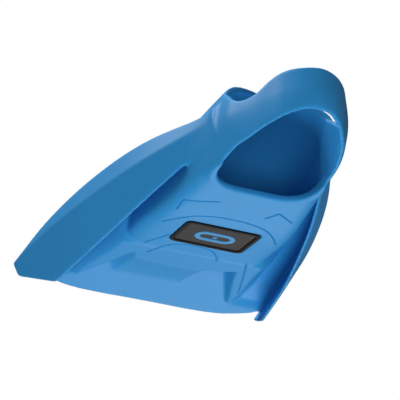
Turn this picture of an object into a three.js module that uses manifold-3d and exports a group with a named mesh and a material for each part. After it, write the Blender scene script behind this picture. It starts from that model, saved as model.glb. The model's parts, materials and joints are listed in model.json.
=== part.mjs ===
// A short-blade silicone swim fin: foot pocket with a closed toe, open heel with an integral
// strap, two chevron side rails, a flexible web between them and an inlaid badge on the sole.
// Millimetres. +Z is up, +Y points from the heel to the blade tip, X = 0 is the plane of symmetry.
// The fin lies sole down: Z = 0 is the surface it rests on, below the heel end of the sole and
// below the lower edges of the rails.
import * as THREE from "three";
import { mergeVertices } from "three/addons/utils/BufferGeometryUtils.js";
import Module from "manifold-3d";

const wasm = await Module();
wasm.setup();

// ---------- driving dimensions ----------
const GAP = 0.35; // clearance kept between neighbouring solids
const WALL = 4.5; // thickness of the pocket walls and of the blade web
const SOLE_THICKNESS = 5;
const SOLE_FLAT_END = -28; // the sole is flat on the ground up to here
const SOLE_BEND = 30; // length over which the sole turns up towards the toe
const SOLE_SLOPE = 0.133;
const SOLE_FLATNESS = 1.06; // above 1, the middle of the sole is flat across its width
const WALL_BACK = -75.5; // where the pocket walls meet the heel walls
const HOLE_FRONT = -61; // front edge of the heel hole
const HOLE_WIDTH = 70;
const HOLE_RADIUS = 12;
const TOE_BOX_BACK = 48; // where the closed toe box starts
const RIM_FRONT = -79; // middle of the ankle rim on the instep
const RIM_SETBACK = 18; // how far the ankle rim runs back towards its sides
const TOE_STEP = 79.5; // furthest point of the sole's front edge
const HINGE_Y = 105; // the blade flexes about this line
const HINGE_Z = 27;
const FLEX_HALF_ANGLE = THREE.MathUtils.degToRad(6.6); // room left on each side of the hinge
const FLEX_GAP = 0.6;
const LAND = 4; // width of the rails' lower and upper edges
const RAIL_DEPTH = 10; // thickness of a rail behind its crease
const TRAILING_Y = 160.3; // middle of the trailing edge
const TRAILING_Z = 20; // underside of the blade at its trailing edge
const RAMP_FRONT = 122; // where the ramp below the toes runs out into the blade
const BADGE = { y: 11, length: 56, width: 40, depth: 2.2, rim: 3, radius: 5 };

// Angles that part the pocket's cross-section into sole, side walls and instep, from +X.
const SOLE_EDGE = -27;
const INSTEP_EDGE = 38;

// ---------- interpolation through stations ----------
// Smooth value of a column in a table of rows that start with the station's coordinate.
function through(rows, column = 1) {
  return (at) => {
    const last = rows.length - 1;
    let i = rows.findIndex((row) => row[0] > at) - 1;
    if (at >= rows[last][0]) i = last - 1;
    i = Math.max(0, Math.min(last - 1, i));
    const slope = (k) => {
      const a = rows[Math.max(0, k - 1)];
      const b = rows[Math.min(last, k + 1)];
      return (b[column] - a[column]) / (b[0] - a[0]);
    };
    const span = rows[i + 1][0] - rows[i][0];
    const t = Math.max(0, Math.min(1, (at - rows[i][0]) / span));
    const start = rows[i][column];
    const end = rows[i + 1][column];
    return (
      start * (1 + 2 * t) * (1 - t) ** 2 +
      end * t * t * (3 - 2 * t) +
      slope(i) * span * t * (1 - t) ** 2 -
      slope(i + 1) * span * t * t * (1 - t)
    );
  };
}

// ---------- outer shape of the foot pocket: y, half width, height of the instep ----------
const POCKET = [
  [-112, 42, 66],
  [-76, 44.5, 68],
  [-38, 49, 66],
  [-6, 53, 61],
  [26, 55, 55],
  [50, 53, 47],
  [68, 45, 37],
  [80, 36, 28],
  [88, 28, 23],
];
const pocketHalfWidth = through(POCKET, 1);
const pocketTop = through(POCKET, 2);

// Underside of the sole: flat, then one soft bend into a straight slope.
function soleZ(y) {
  const past = y - SOLE_FLAT_END;
  if (past <= 0) return 0;
  if (past < SOLE_BEND) return (SOLE_SLOPE * past * past) / (2 * SOLE_BEND);
  return SOLE_SLOPE * (past - SOLE_BEND / 2);
}

// A point of the pocket's cross-section: boxy below, rounder over the instep.
function pocketPoint(y, degrees, inset = 0) {
  const floorInset = inset > 0 ? inset + SOLE_THICKNESS - WALL : inset;
  const bottom = soleZ(y) + floorInset;
  const top = pocketTop(y) - inset;
  const middle = bottom + 0.42 * (top - bottom);
  const angle = THREE.MathUtils.degToRad(degrees);
  const c = Math.cos(angle);
  const s = Math.sin(angle);
  const power = s < 0 ? 2 / 4 : 2 / 2.4;
  const x = (pocketHalfWidth(y) - inset) * Math.sign(c) * Math.abs(c) ** power;
  if (s < 0) return [x, y, middle - (middle - bottom) * Math.min(1, SOLE_FLATNESS * Math.abs(s) ** power)];
  return [x, y, middle + (top - middle) * s ** power];
}

// ---------- rails: y of the station, then x and z of one edge ----------
const RAIL_BOTTOM = [
  [-86, 43, 20],
  [-21, 60.3, 8.1],
  [43, 73.6, 1.3],
  [74, 78.7, 0],
  [117, 84.5, 0],
];
const RAIL_CREASE = [
  [-87, 47, 31],
  [-24, 71, 28.1],
  [39, 88.5, 27.6],
  [102, 99.6, 29.6],
  [162, 106.5, 31.5],
];
const RAIL_TOP = [
  [-88, 47.4, 37.5],
  [-26, 68.3, 44.7],
  [37, 85.1, 46],
  [100, 97.8, 41.6],
  [162, 106, 33],
];
const edgeOf = (table) => {
  const x = through(table, 1);
  const z = through(table, 2);
  return (y) => [x(y), Math.max(0, z(y))];
};
const railBottom = edgeOf(RAIL_BOTTOM);
const railCrease = edgeOf(RAIL_CREASE);
const railTop = edgeOf(RAIL_TOP);

// ---------- underside of the web, which the blade continues ----------
const webZ = through([
  [-90, 24],
  [0, 26],
  [HINGE_Y, HINGE_Z - WALL / 2 + 0.75],
  [TRAILING_Y, TRAILING_Z],
]);

// X of the rail's inner face below the crease, at a height.
function railInnerX(y, z) {
  const [bx, bz] = railBottom(y);
  const [cx, cz] = railCrease(y);
  const t = Math.max(0, Math.min(1, (z - bz) / (cz - bz)));
  return bx - LAND + t * (cx - RAIL_DEPTH - (bx - LAND));
}

// ---------- heel: outline of the walls and the strap, from the pocket round to the rear ----------
// station, outer x and y at mid height, x and y of the lower edge, lower z, upper z,
// and how far the upper edge leans inwards; the last station is the mirror of the one before the rear
const HEEL = [
  [0, 44.5, -76.3, 41, -76.3, 0.5, 51, 5.5],
  [1, 44, -89, 38, -89, 1, 50.5, 5.5],
  [2, 43, -101, 37, -101, 2, 45, 4],
  [3, 41.6, -110, 35.6, -110, 2.5, 37, 1.5],
  [4, 38.8, -117, 34, -117, 2.8, 31.5, 0],
  [5, 36, -124, 32, -124, 3, 29, 0],
  [6, 32.3, -132.5, 29, -132, 4, 29.5, 0],
  [7, 26.5, -141.5, 24, -141, 6, 35.5, 0],
  [8, 20.5, -150, 18, -148.5, 8, 38.4, 0],
  [9, 11, -158.4, 9.5, -155, 9.8, 38.5, 0],
  [10, 0, -162, 0, -158, 10, 38.5, 0],
  [11, -11, -158.4, -9.5, -155, 9.8, 38.5, 0],
];
const HEEL_REAR = 10;
const STRAP_START = 4;
const HEEL_MIDDLE_Z = 24;
const heelColumn = [1, 2, 3, 4, 5, 6, 7].map((column) => through(HEEL, column));

// Ring across the heel wall at a station u; stations past HEEL_REAR mirror back to the left side.
function heelRing(u) {
  const mirrored = u > HEEL_REAR;
  const at = mirrored ? 2 * HEEL_REAR - u : u;
  const [x, y, lowX, lowY, lowZ, topZ, lean] = heelColumn.map((value) => value(at));
  const step = 0.01;
  const tx = heelColumn[0](at + step) - heelColumn[0](at - step);
  const ty = heelColumn[1](at + step) - heelColumn[1](at - step);
  const inward = [ty / Math.hypot(tx, ty), -tx / Math.hypot(tx, ty)];
  const middleZ = Math.min(HEEL_MIDDLE_Z, (lowZ + topZ) / 2 + 2);
  const place = (px, py, pz, depth) => {
    const qx = px + inward[0] * depth;
    return [mirrored ? -qx : qx, py + inward[1] * depth, pz];
  };
  return [
    place(lowX, lowY, lowZ, 0),
    place(x, y, middleZ, 0),
    place(x, y, topZ, lean),
    place(x, y, topZ, lean + WALL),
    place(x, y, middleZ, WALL),
    place(lowX, lowY, lowZ, WALL),
  ];
}

// ---------- solids ----------
function solidOf(geometry) {
  const bare = geometry.clone();
  bare.deleteAttribute("normal");
  bare.deleteAttribute("uv");
  const merged = mergeVertices(bare, 1e-4);
  return new wasm.Manifold(
    new wasm.Mesh({
      numProp: 3,
      vertProperties: new Float32Array(merged.attributes.position.array),
      triVerts: new Uint32Array(merged.index.array),
    }),
  );
}

function geometryOf(body) {
  const mesh = body.getMesh();
  const positions = new Float32Array(mesh.numVert * 3);
  for (let i = 0; i < mesh.numVert; i++) {
    positions.set(mesh.vertProperties.subarray(i * mesh.numProp, i * mesh.numProp + 3), i * 3);
  }
  const geometry = new THREE.BufferGeometry();
  geometry.setAttribute("position", new THREE.BufferAttribute(positions, 3));
  geometry.setIndex(new THREE.BufferAttribute(new Uint32Array(mesh.triVerts), 1));
  geometry.computeVertexNormals();
  return geometry;
}

// Triangles that close a ring of points.
function capOf(ring) {
  const normal = new THREE.Vector3();
  ring.forEach((p, i) => {
    const q = ring[(i + 1) % ring.length];
    normal.x += (p[1] - q[1]) * (p[2] + q[2]);
    normal.y += (p[2] - q[2]) * (p[0] + q[0]);
    normal.z += (p[0] - q[0]) * (p[1] + q[1]);
  });
  const drop = ["x", "y", "z"].map((k) => Math.abs(normal[k]));
  const largest = drop.indexOf(Math.max(...drop));
  const keep = [0, 1, 2].filter((k) => k !== largest);
  const flat = ring.map((p) => new THREE.Vector2(p[keep[0]], p[keep[1]]));
  const turned = THREE.ShapeUtils.isClockWise(flat);
  const order = ring.map((_, i) => i);
  if (turned) order.reverse();
  const faces = THREE.ShapeUtils.triangulateShape(order.map((i) => flat[i]), []);
  return faces.map((face) => {
    const f = face.map((k) => order[k]);
    return turned ? f.reverse() : f;
  });
}

// A closed body through rings that all have the same number of points.
function loft(rings) {
  const count = rings[0].length;
  const index = [];
  for (let r = 0; r + 1 < rings.length; r++) {
    for (let i = 0; i < count; i++) {
      const j = (i + 1) % count;
      const a = r * count + i;
      const b = r * count + j;
      index.push(a, b, b + count, a, b + count, a + count);
    }
  }
  const base = (rings.length - 1) * count;
  for (const [a, b, c] of capOf(rings[0])) index.push(c, b, a);
  for (const [a, b, c] of capOf(rings.at(-1))) index.push(base + a, base + b, base + c);
  const points = rings.flat();
  let volume = 0;
  for (let i = 0; i < index.length; i += 3) {
    const [p, q, s] = [0, 1, 2].map((k) => new THREE.Vector3(...points[index[i + k]]));
    volume += p.dot(q.cross(s));
  }
  if (volume < 0) {
    for (let i = 0; i < index.length; i += 3) [index[i], index[i + 1]] = [index[i + 1], index[i]];
  }
  const geometry = new THREE.BufferGeometry();
  geometry.setAttribute("position", new THREE.Float32BufferAttribute(points.flat(), 3));
  geometry.setIndex(index);
  geometry.computeVertexNormals();
  return geometry;
}

const steps = (from, to, count) =>
  Array.from({ length: count + 1 }, (_, i) => from + ((to - from) * i) / count);
const mirrored = (rings) => rings.map((ring) => ring.map(([x, y, z]) => [-x, y, z]));

function box(size, centre, tilt = 0) {
  const geometry = new THREE.BoxGeometry(...size);
  geometry.rotateX(tilt);
  geometry.translate(...centre);
  return geometry;
}

// ---------- pocket shell ----------
// A strip of the pocket's wall between two angles and two stations.
function pocketStrip(from, to, back, front, angleSteps, lengthSteps) {
  const angles = steps(from, to, angleSteps);
  return loft(
    steps(0, 1, lengthSteps).map((t) => {
      const outer = angles.map((a) => pocketPoint(back(a) + t * (front - back(a)), a));
      const inner = angles.map((a) => pocketPoint(back(a) + t * (front - back(a)), a, WALL));
      return [...outer, ...inner.reverse()];
    }),
  );
}

const fullTurn = steps(0, 360, 32).slice(0, -1);
const pocketLoop = (y, inset) => fullTurn.map((a) => pocketPoint(y, a, inset));

// The closed toe box: outer form less the hollow for the toes.
function toeBox() {
  const outer = solidOf(loft([TOE_BOX_BACK, 58, 68, 76, 82].map((y) => pocketLoop(y, 0))));
  const hollow = solidOf(
    loft([TOE_BOX_BACK - 4, 54, 62, 69, 73].map((y, i) => pocketLoop(y, WALL + (i === 4 ? 4 : 0)))),
  );
  return geometryOf(outer.subtract(hollow));
}

// The round-cornered front end of the heel hole, deep enough to pass through the sole.
function heelHole() {
  const length = 4 * HOLE_RADIUS;
  const geometry = new THREE.ExtrudeGeometry(roundedRectangle(HOLE_WIDTH, length, HOLE_RADIUS), {
    depth: 4 * SOLE_THICKNESS,
    bevelEnabled: false,
    curveSegments: 5,
  });
  return geometry.translate(0, HOLE_FRONT - length / 2, -SOLE_THICKNESS);
}

// The sole strip with the heel hole in its rear and the badge's recess in its underside.
function sole() {
  const strip = pocketStrip(180 - SOLE_EDGE, 360 + SOLE_EDGE, () => WALL_BACK, TOE_BOX_BACK - GAP, 14, 10);
  const recess = box(
    [BADGE.length + 2 * GAP, BADGE.width + 2 * GAP, 2 * (BADGE.depth + GAP)],
    [0, BADGE.y, soleZ(BADGE.y)],
    Math.atan(SOLE_SLOPE),
  );
  return geometryOf(solidOf(strip).subtract(solidOf(recess)).subtract(solidOf(heelHole())));
}

// Everything that stands next to the pocket keeps clear of this grown copy of it.
const pocketClearance = solidOf(
  loft([-112, -90, -76, -55, -38, -20, -6, 10, 26, 40, 50, 60, 68, 76, 82.4].map((y) => pocketLoop(y, -2 * GAP))),
);

// ---------- rails ----------
// How far a rail end stands back from the hinge line at a height.
const flexSetback = (z) => FLEX_GAP + Math.abs(z - HINGE_Z) * Math.tan(FLEX_HALF_ANGLE);

// Ring across the right rail; each corner may sit at its own y.
function railRing(at) {
  const [bx, bz] = railBottom(at.bottom);
  const [cx, cz] = railCrease(at.crease);
  const [tx, tz] = railTop(at.top);
  return [
    [bx, at.bottom, bz],
    [cx, at.crease, cz],
    [tx, at.top, tz],
    [tx - LAND, at.top, tz],
    [cx - RAIL_DEPTH, at.crease, cz],
    [bx - LAND, at.bottom, bz],
  ];
}
const squareRing = (y) => railRing({ bottom: y, crease: y, top: y });
function hingeRing(side) {
  const away = (z) => HINGE_Y + side * flexSetback(z);
  return railRing({
    bottom: away(railBottom(HINGE_Y)[1]),
    crease: away(railCrease(HINGE_Y)[1]),
    top: away(railTop(HINGE_Y)[1]),
  });
}
const railRearRings = [...steps(-86, 96, 10).map(squareRing), hingeRing(-1)];
const railFrontRings = [
  hingeRing(1),
  railRing({ bottom: 112, crease: 120, top: 120 }),
  railRing({ bottom: 115, crease: 136, top: 136 }),
  railRing({ bottom: 117, crease: 150, top: 150 }),
];
// The swept tip: the lower edge stops, and the crease and the upper edge run on to the corner.
function railTipRing() {
  const [bx, bz] = railBottom(117);
  const [cx, cz] = railCrease(162);
  return [
    [bx + 0.6, 118.5, bz],
    [cx, 162, cz - 2],
    [cx - 0.2, 162, cz + 1],
    [cx - LAND, 160, cz + 0.5],
    [cx - LAND - 2, 158, cz - 3],
    [bx - LAND + 0.6, 118.5, bz],
  ];
}
railFrontRings.push(railTipRing());

const lessPocket = (rings) => geometryOf(solidOf(loft(rings)).subtract(pocketClearance));

// ---------- webs ----------
const TOE_WEB_HALF = 20; // half width of the web in front of the toe box
const FLEX_BACK = HINGE_Y - FLEX_GAP - 0.4; // the web and the ribs stop here
const FLEX_FRONT = HINGE_Y + FLEX_GAP + 0.4; // and the blade and its ribs start here

// Strip of web from the toe web out to a rail, cut clear of the pocket.
function sideWeb(side) {
  const rings = steps(-70, FLEX_BACK, 12).map((y) => {
    const z = webZ(y);
    const out = Math.min(railInnerX(y, z), railInnerX(y, z + WALL)) - 3 * GAP;
    const inner = 6;
    return [
      [inner, y, z],
      [out, y, z],
      [out, y, z + WALL],
      [inner, y, z + WALL],
    ].map(([x, py, pz]) => [side * x, py, pz]);
  });
  const strip = solidOf(loft(rings));
  const toeRoom = solidOf(box([2 * TOE_WEB_HALF, 100, 60], [0, 60, 30]));
  return geometryOf(strip.subtract(pocketClearance).subtract(toeRoom));
}

// The web in front of the toe box, between the side webs.
const TOE_WEB_BACK = 83;
function toeWeb() {
  const half = TOE_WEB_HALF - GAP;
  return loft(
    steps(TOE_WEB_BACK, FLEX_BACK, 3).map((y) => [
      [-half, y, webZ(y)],
      [half, y, webZ(y)],
      [half, y, webZ(y) + WALL],
      [-half, y, webZ(y) + WALL],
    ]),
  );
}

// Wedge below the toes, from the front edge of the sole up into the blade. It stands off-centre.
const RAMP_LEFT = -36;
const RAMP_RIGHT = 18;
function toeRamp(back, front) {
  const lowest = (y) => {
    const start = soleZ(TOE_STEP);
    return start + ((webZ(RAMP_FRONT) - start) * (y - TOE_STEP)) / (RAMP_FRONT - TOE_STEP);
  };
  return loft(
    steps(back, front, 2).map((y) => {
      const flank = 0.3 * (webZ(y) - lowest(y));
      return [
        [RAMP_LEFT + flank, y, lowest(y)],
        [RAMP_RIGHT - flank, y, lowest(y)],
        [RAMP_RIGHT, y, webZ(y) - GAP],
        [RAMP_LEFT, y, webZ(y) - GAP],
      ];
    }),
  );
}

// ---------- blade: a web with a bowed trailing edge, thinner towards that edge ----------
const trailingY = (x) => TRAILING_Y + 6e-4 * x ** 2 - 2.9e-7 * x ** 4;
const BLADE_THINNING = 1.5;
function blade() {
  const across = steps(-1, 1, 10);
  const ring = (u) => {
    const points = (lift) =>
      across.map((s) => {
        const nearX = s * railInnerX(TRAILING_Y, TRAILING_Z);
        const y = FLEX_FRONT + u * (trailingY(nearX) - FLEX_FRONT);
        const z = webZ(y);
        return [s * (railInnerX(y, z) - 5 * GAP), y, z + lift * (WALL - BLADE_THINNING * u)];
      });
    return [...points(0), ...points(1).reverse()];
  };
  return loft(steps(0, 1, 5).map(ring));
}

// ---------- ribs: legs that carry the plane of the sole on below the blade ----------
const RIB = [
  [56, 39, 56.8],
  [74, 42.5, 58.4],
  [94, 48.5, 61.4],
  [115, 55.5, 64.2],
  [137, 62, 66],
];
const ribInner = through(RIB, 1);
const ribOuter = through(RIB, 2);
const RIB_END = 134;
function ribRings(side, back, front) {
  return steps(back, front, 4).map((y) => {
    const top = webZ(y) - 2 * GAP;
    const low = Math.min(soleZ(y), top - 1);
    const flank = 0.35 * (top - low);
    return [
      [ribInner(y), y, low],
      [ribOuter(y), y, low],
      [ribOuter(y) + flank, y, top],
      [ribInner(y) - flank, y, top],
    ].map(([x, py, pz]) => [side * x, py, pz]);
  });
}
const ribRear = (side) => lessPocket(ribRings(side, 60, FLEX_BACK - 1.2));
const ribFront = (side) => loft(ribRings(side, FLEX_FRONT + 1.2, RIB_END));

// ---------- badge ----------
function roundedRectangle(length, width, radius) {
  const x = length / 2;
  const y = width / 2;
  const shape = new THREE.Shape();
  shape.moveTo(-x + radius, -y);
  shape.lineTo(x - radius, -y);
  shape.absarc(x - radius, -y + radius, radius, -Math.PI / 2, 0);
  shape.lineTo(x, y - radius);
  shape.absarc(x - radius, y - radius, radius, 0, Math.PI / 2);
  shape.lineTo(-x + radius, y);
  shape.absarc(-x + radius, y - radius, radius, Math.PI / 2, Math.PI);
  shape.lineTo(-x, -y + radius);
  shape.absarc(-x + radius, -y + radius, radius, Math.PI, 1.5 * Math.PI);
  return shape;
}

// Extrudes a shape upwards into the sole from a depth below the sole's tilted underside.
function inlay(shape, lowest, height) {
  const geometry = new THREE.ExtrudeGeometry(shape, {
    depth: height,
    bevelEnabled: false,
    curveSegments: 5,
  });
  geometry.translate(0, 0, lowest);
  geometry.rotateX(Math.atan(SOLE_SLOPE));
  geometry.translate(0, BADGE.y, soleZ(BADGE.y));
  return geometry;
}
function badgeFrame() {
  const shape = roundedRectangle(BADGE.length, BADGE.width, BADGE.radius);
  shape.holes.push(
    roundedRectangle(BADGE.length - 2 * BADGE.rim, BADGE.width - 2 * BADGE.rim, BADGE.radius - 2),
  );
  return inlay(shape, -0.3, BADGE.depth);
}
const badgePlate = () =>
  inlay(
    roundedRectangle(
      BADGE.length - 2 * BADGE.rim - 2 * GAP,
      BADGE.width - 2 * BADGE.rim - 2 * GAP,
      BADGE.radius - 2.4,
    ),
    0.6,
    BADGE.depth - 1,
  );
// The badge's plain mark: a long oval ring and a round dot in its middle.
function badgeRing() {
  const shape = roundedRectangle(30, 16, 8);
  shape.holes.push(roundedRectangle(22, 8, 4));
  return inlay(shape, -0.2, 0.5);
}
function badgeDot() {
  const shape = new THREE.Shape();
  shape.absarc(0, 0, 1.8, 0, 2 * Math.PI);
  return inlay(shape, -0.2, 0.5);
}

// ---------- assembly ----------
const silicone = (colour) =>
  new THREE.MeshStandardMaterial({ color: colour, roughness: 0.45, metalness: 0 });
const BLUE = silicone(0x2f86c8);
const DARK_BLUE = silicone(0x1f6aa8);
const CHARCOAL = silicone(0x34363a);
const LIGHT_BLUE = silicone(0x5aa5dc);

const fin = new THREE.Group();
fin.name = "swim_fin";
function add(name, geometry, material) {
  const mesh = new THREE.Mesh(geometry, material);
  mesh.name = name;
  fin.add(mesh);
}

const wallBack = () => WALL_BACK;
const rimBack = (degrees) => {
  const side = Math.cos(THREE.MathUtils.degToRad(degrees));
  const furthest = Math.cos(THREE.MathUtils.degToRad(INSTEP_EDGE));
  return RIM_FRONT - RIM_SETBACK * (side / furthest) ** 2;
};
const ANGLE_GAP = 0.45; // degrees, leaves the usual clearance between strips

add("sole", sole(), BLUE);
add(
  "right_pocket_wall",
  pocketStrip(SOLE_EDGE + ANGLE_GAP, INSTEP_EDGE - ANGLE_GAP, wallBack, TOE_BOX_BACK - GAP, 8, 9),
  BLUE,
);
add(
  "left_pocket_wall",
  pocketStrip(180 - INSTEP_EDGE + ANGLE_GAP, 180 - SOLE_EDGE - ANGLE_GAP, wallBack, TOE_BOX_BACK - GAP, 8, 9),
  BLUE,
);
add("instep", pocketStrip(INSTEP_EDGE, 180 - INSTEP_EDGE, rimBack, TOE_BOX_BACK - GAP, 12, 9), BLUE);
add("toe_box", toeBox(), BLUE);
add("toe_web", toeWeb(), BLUE);
add("toe_ramp_rear", toeRamp(TOE_WEB_BACK, FLEX_BACK - 1), BLUE);

const strapGap = 0.03; // of a heel station
const heelWallRings = steps(0, STRAP_START - strapGap, 6).map(heelRing);
add("right_heel_wall", loft(heelWallRings), BLUE);
add("left_heel_wall", loft(mirrored(heelWallRings)), BLUE);
add(
  "heel_strap",
  loft(steps(STRAP_START + strapGap, 2 * HEEL_REAR - STRAP_START - strapGap, 18).map(heelRing)),
  BLUE,
);

add("right_rail_rear", lessPocket(railRearRings), DARK_BLUE);
add("left_rail_rear", lessPocket(mirrored(railRearRings)), DARK_BLUE);
add("right_side_web", sideWeb(1), BLUE);
add("left_side_web", sideWeb(-1), BLUE);

add("blade", blade(), BLUE);
add("right_rail_front", loft(railFrontRings), DARK_BLUE);
add("left_rail_front", loft(mirrored(railFrontRings)), DARK_BLUE);
add("toe_ramp_front", toeRamp(FLEX_FRONT + 1, RAMP_FRONT - 4), BLUE);
for (const [name, side] of [["right", 1], ["left", -1]]) {
  add(`${name}_rib_rear`, ribRear(side), BLUE);
  add(`${name}_rib_front`, ribFront(side), BLUE);
}

add("badge_frame", badgeFrame(), CHARCOAL);
add("badge_plate", badgePlate(), CHARCOAL);
add("badge_ring", badgeRing(), LIGHT_BLUE);
add("badge_dot", badgeDot(), LIGHT_BLUE);

export default fin;
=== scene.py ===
"""A short-blade silicone swim fin, seen from below and behind.

The moulding is one continuous skin. It is described as a solid by functions of x, y and z in
millimetres, in the frame of the CAD part, and turned into a mesh by surface nets. Engraved lines
are then cut into the mesh. The badge in the sole is four separate pieces.
"""

import json
import math

import bmesh
import bpy
import numpy as np
from mathutils import Matrix, Vector


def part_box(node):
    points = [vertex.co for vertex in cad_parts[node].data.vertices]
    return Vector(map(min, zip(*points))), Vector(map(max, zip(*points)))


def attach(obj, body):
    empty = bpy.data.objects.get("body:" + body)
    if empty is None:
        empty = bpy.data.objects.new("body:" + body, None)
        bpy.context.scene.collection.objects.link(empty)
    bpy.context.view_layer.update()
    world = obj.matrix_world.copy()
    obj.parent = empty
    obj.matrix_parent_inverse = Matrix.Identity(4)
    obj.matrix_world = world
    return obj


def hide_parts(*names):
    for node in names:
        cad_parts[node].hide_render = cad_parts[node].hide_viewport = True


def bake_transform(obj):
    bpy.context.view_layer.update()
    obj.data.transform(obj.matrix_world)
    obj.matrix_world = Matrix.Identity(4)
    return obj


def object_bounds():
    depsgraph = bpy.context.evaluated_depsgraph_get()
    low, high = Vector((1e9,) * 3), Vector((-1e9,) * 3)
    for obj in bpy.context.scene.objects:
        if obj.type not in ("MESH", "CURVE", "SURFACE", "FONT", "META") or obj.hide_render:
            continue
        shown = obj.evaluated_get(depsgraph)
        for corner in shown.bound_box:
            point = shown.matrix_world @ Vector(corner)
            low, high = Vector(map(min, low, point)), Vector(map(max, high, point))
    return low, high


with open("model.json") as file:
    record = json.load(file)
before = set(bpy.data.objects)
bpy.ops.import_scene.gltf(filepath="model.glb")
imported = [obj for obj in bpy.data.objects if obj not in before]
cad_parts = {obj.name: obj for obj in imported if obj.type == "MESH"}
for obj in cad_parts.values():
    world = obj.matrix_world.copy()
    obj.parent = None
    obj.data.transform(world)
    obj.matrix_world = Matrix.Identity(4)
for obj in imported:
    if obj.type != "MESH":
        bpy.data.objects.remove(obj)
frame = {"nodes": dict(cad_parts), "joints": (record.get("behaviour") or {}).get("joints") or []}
cad_low, cad_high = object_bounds()

MM = 0.001
RIGHT = cad_high.x / MM
REAR = cad_low.y / MM
TIP = cad_high.y / MM
TOP = cad_high.z / MM
HINGE_Y = frame["joints"][0]["pos_m"][1] / MM
VOXEL = 1.0


# ---------- sizes of the moulding, in millimetres; slopes are rise over run ----------
WALL = 4.5
FILLET = 2.4
SHELL_EDGE = 1.0
DEEP = -50.0  # a field value far inside the solid

# the sole: flat at the heel, then bending up, then straight
SOLE_THICKNESS = 5.0
SOLE_ROUNDING = 8.0
SOLE_FLAT_END = -28.0
SOLE_BEND = 30.0
SOLE_SLOPE = 0.133

# the pocket: its section is widest some way up, boxy below that and arched above
WIDEST_AT = 0.42
SOLE_POWER = 4.0
SOLE_FLATNESS = 1.3
INSTEP_POWER = 2.4
LEAST_HEIGHT = 4.0
POCKET_END = 90.0
TOE_END = 88.0
TOE_ROUNDING = 4.0
CAVITY_END = 73.0
CAVITY_ROUNDING = 6.0
ROOM_REAR = -76.0
ROOM_EDGE = 1.2

# the heel opening in the sole
HOLE_FRONT = -61.0
HOLE_ROUNDING = 24.0
HOLE_HALF_WIDTH = 35.3
HOLE_REAR = -92.0
HOLE_REAR_ROUNDING = 6.0
HOLE_TOP = 20.0

# the rim of the ankle opening, which fades into the hole below
RIM_FRONT = -79.0
RIM_SETBACK = 14.0
RIM_HALF_WIDTH = 30.0
RIM_POWER = 1.5
RIM_LOW = 14.0
RIM_FADE = 14.0
RIM_EDGE = 2.0

# the heel walls and the strap
HEEL_REAR = 10  # the station at the middle of the strap
PAST_REAR = 0.6
PLAN_POINTS = 400
PLAN_CHUNK = 4000
HEEL_MIDDLE_Z = 24.0
HEEL_FRONT = -62.0
JOIN_LENGTH = 30.0
JOIN_TOP = 40.0
JOIN_FADE = 14.0
FACE_POWER = 1.8
FACE_REACH = 1.2
EDGE_THINNING = 1.8
HEEL_EDGE = 2.0
HEEL_FILLET = 5.0
HEEL_FILLET_START = -50.0
HEEL_FILLET_LENGTH = 20.0

# the rails
RAIL_DEPTH = 5.5
LOWER_LAND = 2.6
UPPER_LAND = 4.0
RAIL_CORNER = 0.8
RAIL_LAND_EDGE = 2.0
RAIL_SWEEP_START = 117.0
RAIL_SWEEP = 42.5 / 21  # forward for each millimetre up
RAIL_TIP_EDGE = 1.5
RAIL_REAR = -92.0
RAIL_BITE = 1.5

# the web and the blade
WEB_THICKNESS = 4.5
BLADE_THINNING = 1.6
WEB_SWELL = 3.0
SWELL_LENGTH = 40.0
WEB_REAR = -64.0
WEB_TO_CREASE = 4.0
WEB_CORNER = 0.8
WEB_SIDE_EDGE = 1.0
TRAILING_Z = 20.0
TRAILING_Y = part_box("blade")[1].y / MM - 0.3
TRAILING_EDGE = 1.2
EDGE_BOW = 6e-4
EDGE_FALL = 2.7e-7

# the step at the toes and the ramp in front of it
TOE_STEP = 79.5
TOES_REAR = 58.0
STEP_BOW = 10.0
STEP_HALF_WIDTH = 38.0
STEP_SLOPE = 5.0
STEP_CORNER = 0.6
SOLE_SIDE_SLOPE = 0.7
SOLE_SIDE_START = 6.0
RAMP_LEFT = -36.0
RAMP_RIGHT = 17.0
RAMP_REAR = 60.0
RAMP_SLOPE = 0.27
RAMP_LEFT_SLOPE = 0.6
RAMP_RIGHT_SLOPE = 4.0
RAMP_REAR_SLOPE = 3.0

# the ribs, and the channel between each rib and its rail
RIB_START = 52.0
RIB_END = 137.0
RIB_OUTSIDE = 66.0
RIB_INNER_SLOPE = 1.9
RIB_OUTER_START = 3.0
RIB_OUTER_SLOPE = 0.4
RIB_OUTER_CURVE = 0.05
RIB_FRONT_SLOPE = 2.0
RIB_REAR_SLOPE = 0.9
RIB_FOOT_FILLET = 3.0
UNDER_SOLE_END = RIB_END - 8
CHANNEL_DEPTH = 3.0
CHANNEL_START = 2.0
CHANNEL_FADE = 6.0
CHANNEL_END = RIB_END + 7
CHANNEL_END_FADE = 11.0

# the badge
BADGE_Y = 11.0
BADGE_LENGTH = 56.0
BADGE_WIDTH = 40.0
BADGE_RADIUS = 5.0
BADGE_DEPTH = 2.2
BADGE_GAP = 0.3
PANEL_MARGIN = 3.3
PANEL_RADIUS = 2.2
OVAL_LENGTH = 30.0
OVAL_WIDTH = 16.0
CENTRE_SIZE = 3.6

# y, half width of the pocket, height of the instep
POCKET = [
    (-118, 41.5, TOP - 3),
    (-76, 44.5, TOP),
    (-38, 49, 66),
    (-6, 53, 61),
    (26, 55, 55),
    (50, 53, 47),
    (68, 45, 37),
    (80, 36, 29),
    (88, 26, 25),
]
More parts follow.
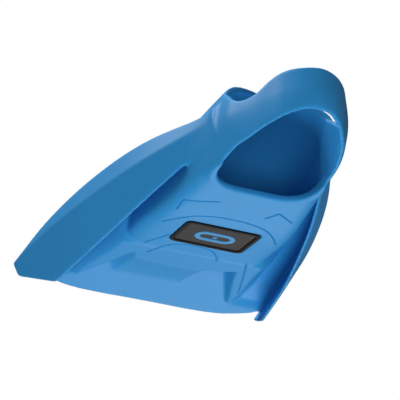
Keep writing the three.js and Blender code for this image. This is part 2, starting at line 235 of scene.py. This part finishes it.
# y, then x and z of one edge of a rail
RAIL_BOTTOM = [
    (-86, 41.5, 20),
    (-21, 60.3, 8.1),
    (43, 73.6, 1.3),
    (74, 78.7, 0),
    (117, 84.5, 0),
    (TIP, 90.6, 0),
]
RAIL_CREASE = [
    (-87, 44.5, 31),
    (-24, 71, 28.1),
    (39, 88.5, 27.6),
    (102, 99.6, 29.6),
    (TIP, RIGHT, 31.5),
]
RAIL_TOP = [
    (-88, 44, 37.5),
    (-26, 68.3, 44.7),
    (37, 85.1, 46),
    (100, 97.8, 41.6),
    (TIP, RIGHT - 0.5, 33),
]
# y of the station, underside of the web
WEB = [(-90, 24), (0, 26), (HINGE_Y, 25.5), (TRAILING_Y, TRAILING_Z)]
# y, inner and outer edge of a rib
RIB = [
    (48, 37, 56),
    (56, 39, 56.8),
    (74, 42.5, 58.4),
    (94, 48.5, 61.4),
    (115, 55.5, 64.2),
    (RIB_END, 62, RIB_OUTSIDE),
]
# station along the heel wall and the strap, from the pocket to the rear: outer x and y at mid
# height, how far the lower edge stands in, lower z, upper z, how far the upper edge leans in
HEEL = [
    (-1, 46.5, -60, 3.6, 0.5, 60, 5.5),
    (0, 44.5, -76.3, 3.5, 0.5, 58, 5.5),
    (1, 44, -89, 6, 1, 53, 5.5),
    (2, 43, -101, 6, 2, 45, 4),
    (3, 41.6, -110, 5.8, 2.5, 37, 1.5),
    (4, 38.8, -117, 4.8, 2.8, 31.5, 0),
    (5, 36, -124, 4, 3, 29, 0),
    (6, 32.3, -132.5, 3.3, 4, 29.5, 0),
    (7, 26.5, -141.5, 2.5, 6, 35.5, 0),
    (8, 20.5, -150, 2.6, 8, 38.4, 0),
    (9, 11, -158.4, 3.2, 9.8, 38.5, 0),
    (10, 0, REAR, 4, 10, 38.5, 0),
    (11, -11, -158.4, 3.2, 9.8, 38.5, 0),
]


def through(rows, column, at):
    """Smooth value of a column in a table of rows that start with the station's coordinate."""
    table = np.array(rows, float)
    stations, values = table[:, 0], table[:, column]
    ahead = np.r_[stations[1:], stations[-1]]
    behind = np.r_[stations[0], stations[:-1]]
    slopes = (np.r_[values[1:], values[-1]] - np.r_[values[0], values[:-1]]) / (ahead - behind)
    at = np.asarray(at, float)
    i = np.clip(np.searchsorted(stations, at, side="right") - 1, 0, len(rows) - 2)
    span = stations[i + 1] - stations[i]
    t = np.clip((at - stations[i]) / span, 0, 1)
    return (
        values[i] * (1 + 2 * t) * (1 - t) ** 2
        + values[i + 1] * t * t * (3 - 2 * t)
        + slopes[i] * span * t * (1 - t) ** 2
        - slopes[i + 1] * span * t * t * (1 - t)
    )


def sole_z(y):
    """Height of the underside of the sole."""
    past = np.asarray(y, float) - SOLE_FLAT_END
    bend = SOLE_SLOPE * past * past / (2 * SOLE_BEND)
    return np.where(past <= 0, 0.0, np.where(past < SOLE_BEND, bend, SOLE_SLOPE * (past - SOLE_BEND / 2)))


def smooth_min(a, b, radius):
    """The smaller of two fields, rounded where they meet."""
    h = np.maximum(radius - np.abs(a - b), 0) / radius
    return np.minimum(a, b) - h * h * radius / 4


def smooth_max(a, b, radius):
    """The larger of two fields, rounded where they meet."""
    return -smooth_min(-a, -b, radius)


def smooth_step(t):
    """From 0 to 1 as t goes from 0 to 1, level at both ends."""
    t = np.clip(t, 0, 1)
    return t * t * (3 - 2 * t)


# ---------- the solid: negative inside, about the distance in millimetres near the surface ----------
def pocket_form(x, y, z, inset):
    """The pocket's outer form, or its hollow with an inset: boxy below, rounder over the instep."""
    y = np.minimum(y, POCKET_END)
    floor_inset = SOLE_THICKNESS if inset > 0 else 0
    bottom = sole_z(y) + floor_inset
    top = np.maximum(through(POCKET, 2, y) - inset, bottom + LEAST_HEIGHT)
    width = through(POCKET, 1, y) - inset
    middle = bottom + WIDEST_AT * (top - bottom)
    dz = z - middle
    below = dz < 0
    height = np.where(below, SOLE_FLATNESS * (middle - bottom), top - middle)
    power = np.where(below, SOLE_POWER, INSTEP_POWER)
    u = np.abs(x) / width
    v = np.abs(dz) / height
    rho = np.maximum((u**power + v**power) ** (1 / power), 1e-3)
    slope = np.hypot((u / rho) ** (power - 1) / width, (v / rho) ** (power - 1) / height)
    return smooth_max((rho - 1) / np.maximum(slope, 1e-4), bottom - z, SOLE_ROUNDING)


def rail_form(x, y, z):
    """A rail: a chevron wall with its crease outwards and a swept front end."""
    tables = (RAIL_BOTTOM, RAIL_CREASE, RAIL_TOP)
    bottom, crease, top = [(through(t, 1, y), np.maximum(through(t, 2, y), 0)) for t in tables]

    def beyond(p, q):
        """Distance outside the line from p to q, with the solid on its left."""
        dx = q[0] - p[0]
        dz = q[1] - p[1]
        return ((x - p[0]) * dz - (z - p[1]) * dx) / np.hypot(dx, dz)

    inner_bottom = (bottom[0] - LOWER_LAND, bottom[1])
    inner_crease = (crease[0] - RAIL_DEPTH, crease[1])
    inner_top = (top[0] - UPPER_LAND, top[1])
    outside = smooth_max(beyond(bottom, crease), beyond(crease, top), RAIL_CORNER)
    inside = np.maximum(beyond(inner_bottom, inner_crease), beyond(inner_crease, inner_top))
    body = smooth_max(outside, -inside, RAIL_CORNER)
    body = smooth_max(body, np.maximum(bottom[1] - z, z - top[1]), RAIL_LAND_EDGE)
    front = (y - RAIL_SWEEP_START - RAIL_SWEEP * z) / math.hypot(1, RAIL_SWEEP)
    body = smooth_max(body, front, RAIL_TIP_EDGE)
    body = smooth_max(body, y - TIP, RAIL_TIP_EDGE)
    return np.maximum(body, RAIL_REAR - y)


def rib_plan(x, y):
    """Distances in plan outside the inner and the outer edge of a rib."""
    inner = through(RIB, 1, y) - np.abs(x)
    outer = np.abs(x) - through(RIB, 2, y)
    return inner, outer


def rib_underside(x, y):
    """A rib, level with the sole, with its flanks and its ends."""
    inner, outer = rib_plan(x, y)
    beyond = np.maximum(outer + RIB_OUTER_START, 0)
    rise = RIB_INNER_SLOPE * np.maximum(inner, 0)
    rise = rise + RIB_OUTER_SLOPE * beyond + RIB_OUTER_CURVE * beyond**2
    rise = rise + RIB_FRONT_SLOPE * np.maximum(y - RIB_END, 0)
    return sole_z(y) + rise + RIB_REAR_SLOPE * np.maximum(RIB_START - y, 0)


def step_underside(x, y):
    """The front of the sole, which ends in a bowed step."""
    outer = rib_plan(x, y)[1]
    step_y = TOE_STEP - STEP_BOW * (np.abs(x) / STEP_HALF_WIDTH) ** 2
    rise = STEP_SLOPE * np.maximum(y - step_y, 0)
    rise = rise + SOLE_SIDE_SLOPE * np.maximum(outer + SOLE_SIDE_START, 0)
    return sole_z(y) + rise + RIB_REAR_SLOPE * np.maximum(RIB_START - y, 0)


def ramp_underside(x, y):
    """The ramp from the step down to the blade, off centre."""
    rise = RAMP_SLOPE * (y - TOE_STEP)
    rise = rise + RAMP_LEFT_SLOPE * np.maximum(RAMP_LEFT - x, 0)
    rise = rise + RAMP_RIGHT_SLOPE * np.maximum(x - RAMP_RIGHT, 0)
    return sole_z(TOE_STEP) + rise + RAMP_REAR_SLOPE * np.maximum(RAMP_REAR - y, 0)


def web_underside(x, y):
    """The web and the blade, with the channel beside each rib."""
    outer = rib_plan(x, y)[1]
    across = smooth_step((outer + CHANNEL_START) / CHANNEL_FADE)
    along = smooth_step((CHANNEL_END - y) / CHANNEL_END_FADE)
    return through(WEB, 1, y) + CHANNEL_DEPTH * across * along


def underside(x, y):
    """Height of the underside of the web, the ramp, the ribs and the front of the sole."""
    toes = np.minimum(step_underside(x, y), ramp_underside(x, y))
    height = smooth_min(rib_underside(x, y), toes, STEP_CORNER)
    return smooth_min(height, web_underside(x, y), RIB_FOOT_FILLET)


def web_form(x, y, z):
    """The web and the blade, between the rails, with everything that stands out below them."""
    low = underside(x, y)
    slope_x = np.gradient(low, x[:, 0, 0], axis=0)
    slope_y = np.gradient(low, y[0, :, 0], axis=1)
    steep = np.sqrt(1 + slope_x**2 + slope_y**2)
    below = (low - z) / steep
    web = through(WEB, 1, y)
    thickness = WEB_THICKNESS - BLADE_THINNING * np.clip((y - HINGE_Y) / (TRAILING_Y - HINGE_Y), 0, 1)
    top = web + thickness + WEB_SWELL * np.clip((RIB_END - y) / SWELL_LENGTH, 0, 1)
    above = z - top
    side = np.abs(x) - through(RAIL_CREASE, 1, y) + WEB_TO_CREASE
    edge_y = TRAILING_Y + EDGE_BOW * x**2 - EDGE_FALL * x**4
    end = y - edge_y
    body = smooth_max(below, above, WEB_CORNER)
    body = smooth_max(body, end, TRAILING_EDGE)
    body = smooth_max(body, side, WEB_SIDE_EDGE)
    return np.maximum(body, WEB_REAR - y)


def heel_plan(x, y):
    """For points of the plan: the nearest station of the heel wall and the distance outside it."""
    u = np.linspace(HEEL[0][0], HEEL_REAR + PAST_REAR, PLAN_POINTS)
    px, py = through(HEEL, 1, u), through(HEEL, 2, u)
    dx, dy = np.gradient(px), np.gradient(py)
    length = np.hypot(dx, dy)
    nx, ny = -dy / length, dx / length
    flat = np.stack(np.broadcast_arrays(x, y), -1).reshape(-1, 2)
    station = np.empty(len(flat))
    distance = np.empty(len(flat))
    for part in range(0, len(flat), PLAN_CHUNK):
        chunk = flat[part : part + PLAN_CHUNK]
        ex = chunk[:, :1] - px
        ey = chunk[:, 1:] - py
        near = np.argmin(ex * ex + ey * ey, axis=1)
        row = np.arange(len(chunk))
        station[part : part + PLAN_CHUNK] = u[near]
        gap = ex[row, near] * nx[near] + ey[row, near] * ny[near]
        distance[part : part + PLAN_CHUNK] = gap
    shape = np.broadcast(x, y).shape
    return station.reshape(shape), distance.reshape(shape)


def heel_form(x, y, z, pocket):
    """The heel walls and the strap, and the outer surface they share with the pocket."""
    station, distance = heel_plan(np.abs(x), y)
    tuck, low, high, lean = (through(HEEL, column, station) for column in (3, 4, 5, 6))
    down = np.clip((HEEL_MIDDLE_Z - z) / np.maximum(HEEL_MIDDLE_Z - low, 1), 0, FACE_REACH)
    up = np.clip((z - HEEL_MIDDLE_Z) / np.maximum(high - HEEL_MIDDLE_Z, 1), 0, FACE_REACH)
    offset = tuck * down**FACE_POWER + lean * up**FACE_POWER
    outside = distance + offset
    share = smooth_step((HEEL_FRONT - y) / JOIN_LENGTH)
    share = share * (1 - smooth_step((z - JOIN_TOP) / JOIN_FADE))
    outside = pocket + (outside - pocket) * share
    half = (WALL - EDGE_THINNING * np.clip(down, 0, 1) ** 3) / 2
    wall = np.abs(outside + half) - half
    edge = np.maximum(low - z, z - high)
    return np.maximum(smooth_max(wall, edge, HEEL_EDGE), y - HEEL_FRONT), outside


def badge_recess(x, y, z):
    """The recess for the badge, square to the sole where the badge lies."""
    tilt = math.atan(SOLE_SLOPE)
    ahead = y - BADGE_Y
    rise = z - sole_z(BADGE_Y)
    along = ahead * math.cos(tilt) + rise * math.sin(tilt)
    depth = rise * math.cos(tilt) - ahead * math.sin(tilt)
    side = np.abs(x) - (BADGE_LENGTH / 2 + BADGE_GAP - BADGE_RADIUS)
    end = np.abs(along) - (BADGE_WIDTH / 2 + BADGE_GAP - BADGE_RADIUS)
    outline = np.hypot(np.maximum(side, 0), np.maximum(end, 0)) + np.minimum(np.maximum(side, end), 0)
    return np.maximum(outline - BADGE_RADIUS, depth - BADGE_DEPTH)


def moulding(x, y, z):
    """The whole moulding as one solid."""
    hollow = pocket_form(x, y, z, WALL)
    hollow = smooth_max(hollow, y - CAVITY_END, CAVITY_ROUNDING)
    heel, outer = heel_form(x, y, z, pocket_form(x, y, z, 0))

    hole = smooth_max(np.abs(x) - HOLE_HALF_WIDTH, y - HOLE_FRONT, HOLE_ROUNDING)
    beside_hole = smooth_max(-hole, HOLE_REAR - y, HOLE_REAR_ROUNDING)
    in_hole = np.maximum(hole, HOLE_REAR - y)
    heel = np.maximum(heel, np.where(z < HOLE_TOP, -in_hole, DEEP))

    rim_y = RIM_FRONT - RIM_SETBACK * (np.abs(x) / RIM_HALF_WIDTH) ** RIM_POWER
    high = np.clip((z - RIM_LOW) / RIM_FADE, 0, 1)
    back = (rim_y - y) * high + beside_hole * (1 - high)
    shell = smooth_max(outer, -hollow, SHELL_EDGE)
    shell = smooth_max(shell, y - TOE_END, TOE_ROUNDING)
    shell = smooth_max(shell, back, RIM_EDGE)

    rails = np.maximum(rail_form(np.abs(x), y, z), -(outer + RAIL_BITE))
    front = smooth_min(rails, web_form(x, y, z), FILLET)
    below_toes = np.where(y > TOES_REAR, underside(x, y) - z, DEEP)
    body = np.maximum(np.minimum(shell, heel), below_toes)
    beside_heel = np.clip((HEEL_FILLET_START - y) / HEEL_FILLET_LENGTH, 0, 1)
    body = smooth_min(body, front, FILLET + HEEL_FILLET * beside_heel)

    room = np.maximum(hollow, ROOM_REAR - y)
    body = smooth_max(body, -room, ROOM_EDGE)
    under_sole = sole_z(np.minimum(y, UNDER_SOLE_END)) - z
    body = np.maximum(body, np.where(np.abs(x) < RIB_OUTSIDE, under_sole, DEEP))
    return np.maximum(body, -badge_recess(x, y, z))


# ---------- surface nets ----------
def surface_nets(field, axes, step):
    """Vertices and quads of the surface where the field is zero."""
    inside = field < 0
    corners = [(i, j, k) for i in (0, 1) for j in (0, 1) for k in (0, 1)]
    nx, ny, nz = (n - 1 for n in field.shape)

    def corner(values, c):
        return values[c[0] : c[0] + nx, c[1] : c[1] + ny, c[2] : c[2] + nz]

    count = sum(corner(inside, c).astype(np.uint8) for c in corners)
    mixed = (count > 0) & (count < 8)
    number = np.full(mixed.shape, -1, np.int64)
    number[mixed] = np.arange(mixed.sum())
    values = {c: corner(field, c)[mixed] for c in corners}
    total = np.zeros((mixed.sum(), 3))
    crossings = np.zeros(mixed.sum())
    for a in corners:
        for axis in range(3):
            if a[axis]:
                continue
            b = tuple(1 if k == axis else a[k] for k in range(3))
            fa, fb = values[a], values[b]
            cross = (fa < 0) != (fb < 0)
            t = np.where(cross, fa / np.where(cross, fa - fb, 1), 0)
            point = np.tile(np.array(a, float), (len(fa), 1))
            point[:, axis] += t
            total += point * cross[:, None]
            crossings += cross
    base = np.argwhere(mixed)
    origin = np.array([axis[0] for axis in axes])
    points = origin + (base + total / crossings[:, None]) * step
    faces = []
    for axis in range(3):
        one, two = [k for k in range(3) if k != axis]
        cut = [slice(None)] * 3
        cut[axis] = slice(0, -1)
        ahead = [slice(None)] * 3
        ahead[axis] = slice(1, None)
        start, end = inside[tuple(cut)], inside[tuple(ahead)]
        where = np.argwhere(start != end)
        keep = (where[:, one] > 0) & (where[:, two] > 0)
        keep &= (where[:, one] < number.shape[one]) & (where[:, two] < number.shape[two])
        where = where[keep]
        going_out = start[tuple(where.T)]
        ring = []
        for da, db in ((-1, -1), (0, -1), (0, 0), (-1, 0)):
            cell = where.copy()
            cell[:, one] += da
            cell[:, two] += db
            ring.append(number[tuple(cell.T)])
        quad = np.stack(ring, 1)
        flip = going_out if axis == 1 else ~going_out
        quad[flip] = quad[flip][:, ::-1]
        faces.append(quad)
    return points, np.concatenate(faces)


def moulding_mesh():
    """Points and quads of the moulding, on a grid that is centred on the part."""
    spans = [(-RIGHT, RIGHT), (REAR, TIP), (0, TOP)]
    axes = []
    for low, high in spans:
        half = math.ceil((high - low) / 2 / VOXEL + 3) + 0.5
        middle = (low + high) / 2
        axes.append(middle + VOXEL * np.arange(-half, half + 1))
    x = axes[0][:, None, None]
    y = axes[1][None, :, None]
    z = axes[2][None, None, :]
    field = moulding(x, y, z).astype(np.float32)
    points, quads = surface_nets(field, axes, VOXEL)
    return points, quads


def mesh_object(name, points, faces, material):
    """A smooth-shaded object from points in millimetres."""
    mesh = bpy.data.meshes.new(name)
    mesh.from_pydata((np.asarray(points) * MM).tolist(), [], faces)
    mesh.update()
    mesh.polygons.foreach_set("use_smooth", np.ones(len(mesh.polygons), bool))
    made = bpy.data.objects.new(name, mesh)
    bpy.context.scene.collection.objects.link(made)
    made.data.materials.append(material)
    return made


# ---------- materials ----------
def principled(name, colour, roughness):
    """A material with one shader, and its node tree."""
    material = bpy.data.materials.new(name)
    material.use_nodes = True
    nodes, links = material.node_tree.nodes, material.node_tree.links
    shader = nodes["Principled BSDF"]
    shader.inputs["Base Color"].default_value = (*colour, 1)
    shader.inputs["Roughness"].default_value = roughness
    shader.inputs["Specular IOR Level"].default_value = 0.25
    return material, nodes, links, shader


def silicone(name, colour, darker):
    """Soft satin silicone with a faint mottle."""
    material, nodes, links, shader = principled(name, colour, 0.4)
    place = nodes.new("ShaderNodeTexCoord")
    noise = nodes.new("ShaderNodeTexNoise")
    noise.inputs["Scale"].default_value = 22.0
    noise.inputs["Detail"].default_value = 3.0
    ramp = nodes.new("ShaderNodeValToRGB")
    ramp.color_ramp.elements[0].color = (*darker, 1)
    ramp.color_ramp.elements[1].color = (*colour, 1)
    ramp.color_ramp.elements[0].position = 0.25
    ramp.color_ramp.elements[1].position = 0.75
    links.new(place.outputs["Object"], noise.inputs["Vector"])
    links.new(noise.outputs["Fac"], ramp.inputs["Fac"])
    links.new(ramp.outputs["Color"], shader.inputs["Base Color"])
    return material


# ---------- engraved lines on the sole and on the ribs, seen in plan ----------
def arc_line(centre_x, middle_y, bow, lift, left, right, count=25):
    """An arc across the sole: y grows away from its middle, faster and faster."""
    across = np.linspace(left, right, count)
    return [(centre_x + a, middle_y + bow * a**2 + lift * a**4) for a in across]


ENGRAVED = [
    [(-41.5, -21), (-41.5, -34.5), (-19, -43)],
    [(18.5, -34), (24.5, -44), (38, -35)],
    arc_line(0, -23.5, 5e-3, 5e-6, -43, 43),
    [(-40, 47), (-30.5, 22)],
    arc_line(-5, 33.5, 1.2e-2, 4e-5, -27, 24),
    [(40.6, 49.1), (51.9, 83.1), (60.4, 111.2)],
]
ENGRAVING_DEPTH = 1.2
ENGRAVING_WIDTH = 0.8
ENGRAVING_REACH = 1.6
ENGRAVED_BELOW = 20.0
FACING_DOWN = -0.6
SMOOTHING_PASSES = 2


def line_distance(points):
    """Distance in plan from each point to the nearest engraved line."""
    nearest = np.full(len(points), 1e9)
    for line in ENGRAVED:
        for start, end in zip(line[:-1], line[1:]):
            a, b = np.array(start, float), np.array(end, float)
            along = np.clip((points[:, :2] - a) @ (b - a) / ((b - a) @ (b - a)), 0, 1)
            gap = points[:, :2] - (a + along[:, None] * (b - a))
            nearest = np.minimum(nearest, np.hypot(gap[:, 0], gap[:, 1]))
    return nearest


def underside_gaps(work):
    """Each vertex's distance to the nearest engraved line, and whether it is on the underside."""
    work.normal_update()
    points = np.array([v.co for v in work.verts]) / MM
    facing = np.array([v.normal.z for v in work.verts])
    below = (facing < FACING_DOWN) & (points[:, 2] < ENGRAVED_BELOW)
    return line_distance(points), below


def engrave(made, cuts):
    """Smooths the mesh, refines it beside the lines and cuts them into the underside."""
    work = bmesh.new()
    work.from_mesh(made.data)
    for _ in range(SMOOTHING_PASSES):
        bmesh.ops.smooth_vert(
            work, verts=work.verts, factor=0.5, use_axis_x=True, use_axis_y=True, use_axis_z=True
        )
    gaps, below = underside_gaps(work)
    near = (gaps < ENGRAVING_REACH * max(VOXEL, 1)) & below
    edges = [e for e in work.edges if near[e.verts[0].index] and near[e.verts[1].index]]
    bmesh.ops.subdivide_edges(work, edges=edges, cuts=cuts, use_grid_fill=True)
    gaps, below = underside_gaps(work)
    depth = ENGRAVING_DEPTH * smooth_step(1 - gaps / ENGRAVING_WIDTH) * below
    for vertex, cut in zip(work.verts, depth):
        vertex.co.z += cut * MM
    work.to_mesh(made.data)
    work.free()
    made.data.polygons.foreach_set("use_smooth", np.ones(len(made.data.polygons), bool))


# ---------- the badge ----------
def rounded_outline(length, width, radius, corner=8):
    """Points round a rectangle with rounded corners, anticlockwise."""
    points = []
    for sx, sy, first in ((1, -1, -90), (1, 1, 0), (-1, 1, 90), (-1, -1, 180)):
        for k in range(corner + 1):
            turn = math.radians(first + 90 * k / corner)
            x = sx * (length / 2 - radius) + radius * math.cos(turn)
            y = sy * (width / 2 - radius) + radius * math.sin(turn)
            points.append((x, y))
    return points


def lofted(name, length, width, radius, profile, material, ring=False):
    """A piece with a rounded outline. The profile lists how far in and how deep each ring lies."""
    points, faces = [], []
    for inset, depth in profile:
        outline = rounded_outline(length - 2 * inset, width - 2 * inset, max(radius - inset, 0.4))
        points += [(x, y, depth) for x, y in outline]
    count = len(points) // len(profile)
    rows = len(profile) if ring else len(profile) - 1
    for row in range(rows):
        after = (row + 1) % len(profile)
        for k in range(count):
            nxt = (k + 1) % count
            faces.append((row * count + k, after * count + k, after * count + nxt, row * count + nxt))
    if not ring:
        faces.append(tuple(range(count)))
        faces.append(tuple(reversed(range(rows * count, (rows + 1) * count))))
    made = mesh_object(name, points, faces, material)
    tilt = Matrix.Rotation(math.atan(SOLE_SLOPE), 4, "X")
    place = Matrix.Translation(Vector((0, BADGE_Y, float(sole_z(BADGE_Y)))) * MM)
    made.data.transform(place @ tilt)
    edge = made.modifiers.new("edges", "EDGE_SPLIT")
    edge.split_angle = math.radians(38)
    return made


def matt(name, colour):
    """Matt plastic with a fine grain."""
    material, nodes, links, shader = principled(name, colour, 0.6)
    noise = nodes.new("ShaderNodeTexNoise")
    noise.inputs["Scale"].default_value = 900.0
    bump = nodes.new("ShaderNodeBump")
    bump.inputs["Strength"].default_value = 0.25
    bump.inputs["Distance"].default_value = 0.0002
    links.new(noise.outputs["Fac"], bump.inputs["Height"])
    links.new(bump.outputs["Normal"], shader.inputs["Normal"])
    return material


BLUE = silicone("blue_silicone", (0.034, 0.315, 0.72), (0.032, 0.302, 0.69))
skin_points, skin_quads = moulding_mesh()
skin = mesh_object("fin_moulding", skin_points, skin_quads.tolist(), BLUE)
print("moulding:", len(skin_points), "points", len(skin_quads), "quads")

SILICONE_NODES = [n for n in frame["nodes"] if not n.startswith("badge")]
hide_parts(*SILICONE_NODES)
engrave(skin, 3)
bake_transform(skin)

CHARCOAL = matt("badge_charcoal", (0.050, 0.047, 0.046))
# near-black for the bezel: the rim is a real piece, but its blackness is a painted shadow of the gap
# round the badge
BEZEL_SHADE_BLACK = matt("badge_bezel_painted_shade", (0.012, 0.012, 0.013))
MARK_BLUE = matt("badge_blue", (0.09, 0.34, 0.66))
# profiles of the badge pieces: how far in from the outline, how far up into the sole
FRAME = [(0, 1.9), (0, 0.1), (0.3, -0.25), (0.9, -0.3), (2.3, -0.2), (2.7, 0.1), (3, 0.5), (3, 1.9)]
# the bezel is drawn near-black, darker than the charcoal panel: painted shadow round the badge
badge_frame = lofted("badge_bezel", BADGE_LENGTH, BADGE_WIDTH, BADGE_RADIUS, FRAME, BEZEL_SHADE_BLACK, ring=True)
PANEL = [(0, 1.8), (0, 0.8), (0.3, 0.6), (0.9, 0.55)]
panel_length = BADGE_LENGTH - 2 * PANEL_MARGIN
panel_width = BADGE_WIDTH - 2 * PANEL_MARGIN
badge_panel = lofted("badge_panel", panel_length, panel_width, PANEL_RADIUS, PANEL, CHARCOAL)
RING = [(0, 0.6), (0, 0.0), (0.35, -0.2), (3.65, -0.2), (4, 0.0), (4, 0.6)]
badge_ring = lofted("badge_oval", OVAL_LENGTH, OVAL_WIDTH, OVAL_WIDTH / 2, RING, MARK_BLUE, ring=True)
DOT = [(0, 0.6), (0, 0.0), (0.35, -0.2)]
badge_dot = lofted("badge_centre", CENTRE_SIZE, CENTRE_SIZE, CENTRE_SIZE / 2, DOT, MARK_BLUE)
BADGE = [
    (badge_frame, "badge_frame", "badge_charcoal"),
    (badge_panel, "badge_plate", "badge_charcoal"),
    (badge_ring, "badge_ring", "badge_blue"),
    (badge_dot, "badge_dot", "badge_blue"),
]
for piece, node, finish in BADGE:
    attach(piece, "foot_pocket")
    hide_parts(node)


# ---------- stage, lights, camera ----------
AMBIENT = 0.10
# name, place in metres, diameter, power, and whether it shows in reflections
LIGHTS = [
    ("sheen", (0.5, 1.0, -0.8), 0.9, 3.6, True),
    ("key", (0.05, 0.4, -1.35), 0.8, 11, False),
    ("fill", (-0.2, -0.85, -0.5), 0.5, 3.6, False),
    ("top", (0, 0.2, 1.35), 1.0, 16, False),
    ("top_left", (-0.9, 0.1, 1.0), 1.0, 13, True),
]
FLOOR_SIZE = 8.0
FLOOR_Z = -0.0005
SENSOR_WIDTH = 36.0
LENS = 134.4
CAMERA_PLACE = (-0.34889, -0.84467, -0.49144)
CAMERA_RIGHT = (0.9268, -0.3753, 0.0166)
CAMERA_BACK = (-0.3187, -0.8089, -0.4941)


def pale_floor():
    """A floor that is seen only from above and lets all light through."""
    bpy.ops.mesh.primitive_plane_add(size=FLOOR_SIZE, location=(0, 0, FLOOR_Z))
    floor = bpy.context.object
    floor.name = "floor"
    material = bpy.data.materials.new("floor")
    material.use_nodes = True
    nodes, links = material.node_tree.nodes, material.node_tree.links
    nodes.clear()
    out = nodes.new("ShaderNodeOutputMaterial")
    pale = nodes.new("ShaderNodeBsdfDiffuse")
    pale.inputs["Color"].default_value = (0.8, 0.8, 0.8, 1)
    clear = nodes.new("ShaderNodeBsdfTransparent")
    mix = nodes.new("ShaderNodeMixShader")
    side = nodes.new("ShaderNodeNewGeometry")
    path = nodes.new("ShaderNodeLightPath")
    front = nodes.new("ShaderNodeMath")
    front.operation = "SUBTRACT"
    front.inputs[0].default_value = 1.0
    seen = nodes.new("ShaderNodeMath")
    seen.operation = "MULTIPLY"
    links.new(side.outputs["Backfacing"], front.inputs[1])
    links.new(front.outputs[0], seen.inputs[0])
    links.new(path.outputs["Is Camera Ray"], seen.inputs[1])
    links.new(seen.outputs[0], mix.inputs["Fac"])
    links.new(clear.outputs[0], mix.inputs[1])
    links.new(pale.outputs[0], mix.inputs[2])
    links.new(mix.outputs[0], out.inputs["Surface"])
    floor.data.materials.append(material)


def white_world(ambient):
    """A weak ambient light, in front of a white backdrop."""
    world = bpy.data.worlds.new("studio")
    world.use_nodes = True
    bpy.context.scene.world = world
    nodes, links = world.node_tree.nodes, world.node_tree.links
    nodes.clear()
    out = nodes.new("ShaderNodeOutputWorld")
    light = nodes.new("ShaderNodeBackground")
    light.inputs["Color"].default_value = (1, 1, 1, 1)
    light.inputs["Strength"].default_value = ambient
    backdrop = nodes.new("ShaderNodeBackground")
    backdrop.inputs["Color"].default_value = (1, 1, 1, 1)
    mix = nodes.new("ShaderNodeMixShader")
    path = nodes.new("ShaderNodeLightPath")
    links.new(path.outputs["Is Camera Ray"], mix.inputs["Fac"])
    links.new(light.outputs[0], mix.inputs[1])
    links.new(backdrop.outputs[0], mix.inputs[2])
    links.new(mix.outputs[0], out.inputs["Surface"])


def area_light(name, place, size, power, reflected):
    """A round lamp that points at the fin."""
    lamp = bpy.data.lights.new(name, "AREA")
    lamp.shape = "DISK"
    lamp.size = size
    lamp.energy = power
    made = bpy.data.objects.new(name, lamp)
    bpy.context.scene.collection.objects.link(made)
    made.location = place
    made.rotation_euler = (-Vector(place)).to_track_quat("-Z", "Y").to_euler()
    made.visible_glossy = reflected


def photo_camera():
    """Below and behind the heel, turned to the left."""
    data = bpy.data.cameras.new("camera")
    data.sensor_width = SENSOR_WIDTH
    data.lens = LENS
    data.clip_start = 0.01
    camera = bpy.data.objects.new("camera", data)
    bpy.context.scene.collection.objects.link(camera)
    back = Vector(CAMERA_BACK).normalized()
    up = back.cross(Vector(CAMERA_RIGHT)).normalized()
    right = up.cross(back)
    turn = Matrix((right, up, back)).transposed().to_4x4()
    camera.matrix_world = Matrix.Translation(Vector(CAMERA_PLACE)) @ turn
    bpy.context.scene.camera = camera


pale_floor()
white_world(AMBIENT)
for light in LIGHTS:
    area_light(*light)
photo_camera()
bpy.context.scene.view_settings.view_transform = "Standard"
